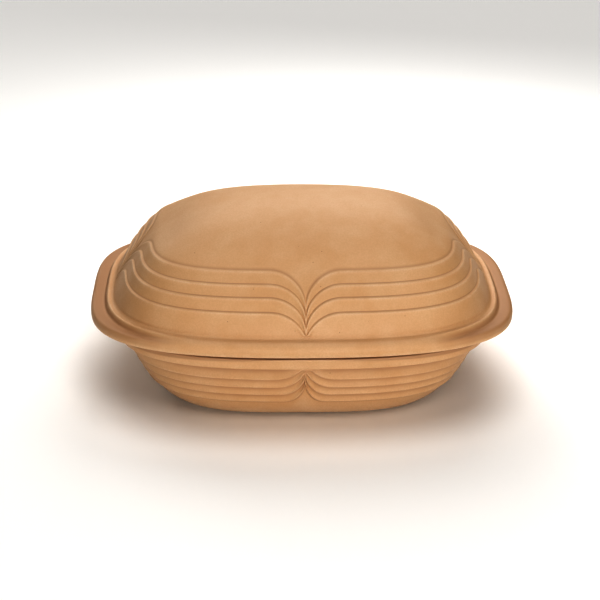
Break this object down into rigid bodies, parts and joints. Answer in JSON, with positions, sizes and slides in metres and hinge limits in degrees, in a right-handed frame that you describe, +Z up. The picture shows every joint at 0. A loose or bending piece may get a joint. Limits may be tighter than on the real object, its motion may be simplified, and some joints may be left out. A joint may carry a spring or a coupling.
{
  "type": "covered casserole dish",
  "caption": "Oval unglazed clay casserole dish: a deep dish on a flat foot and a terraced, domed lid with a lifting tab at each end that rests over the dish's rim.",
  "frame": {"origin": "middle of the foot's underside, on the surface that the dish stands on, below the middle of the whole object", "axes": "+Z up, the way the lid lifts off; +X along the length, from tab to tab; +Y across the width"},
  "size_m": [0.39, 0.277, 0.1772],
  "materials": {
    "lid_terracotta": "unglazed, smooth, matte fired clay",
    "dish_terracotta": "unglazed, smooth, matte fired clay outside, clear glaze inside"
  },
  "bodies": {
    "dish": {"base_dish": "dish_terracotta"},
    "lid": {"lid": "lid_terracotta"}
  },
  "joints": [
    {"name": "lid_lift", "type": "slide", "parent": "dish", "child": "lid", "axis": [0, 0, 1], "range_m": [0, 0.2]}
  ]
}
